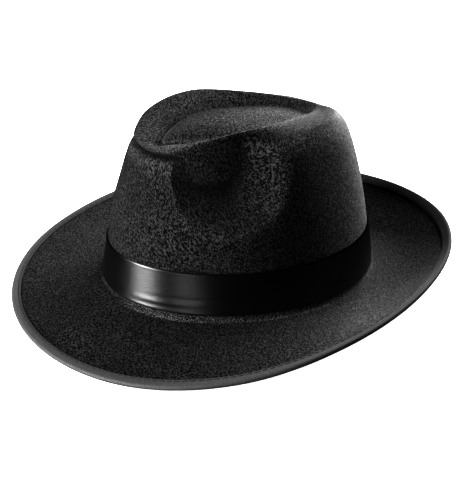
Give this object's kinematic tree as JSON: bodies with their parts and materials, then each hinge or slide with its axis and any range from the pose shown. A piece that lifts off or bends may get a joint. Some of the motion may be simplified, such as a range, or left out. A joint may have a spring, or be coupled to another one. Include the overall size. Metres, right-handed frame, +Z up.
{
  "type": "gangster hat",
  "caption": "Felt hat with a creased and pinched crown, a plain satin ribbon round its foot and a snap brim with a bound edge; open below for the head.",
  "frame": {"origin": "on the surface the hat rests on, under the middle of its bounding box", "axes": "+Z up, -Y towards the front of the hat, +X towards the wearer's left"},
  "size_m": [0.3086, 0.3344, 0.1319],
  "materials": {
    "felt": "matt black felt with a fine pebbled nap",
    "satin": "black satin, soft sheen",
    "binding": "black woven tape, low sheen"
  },
  "bodies": {
    "root": {"felt_body": "felt", "hat_band": "satin", "edge_binding": "binding"}
  },
  "joints": []
}
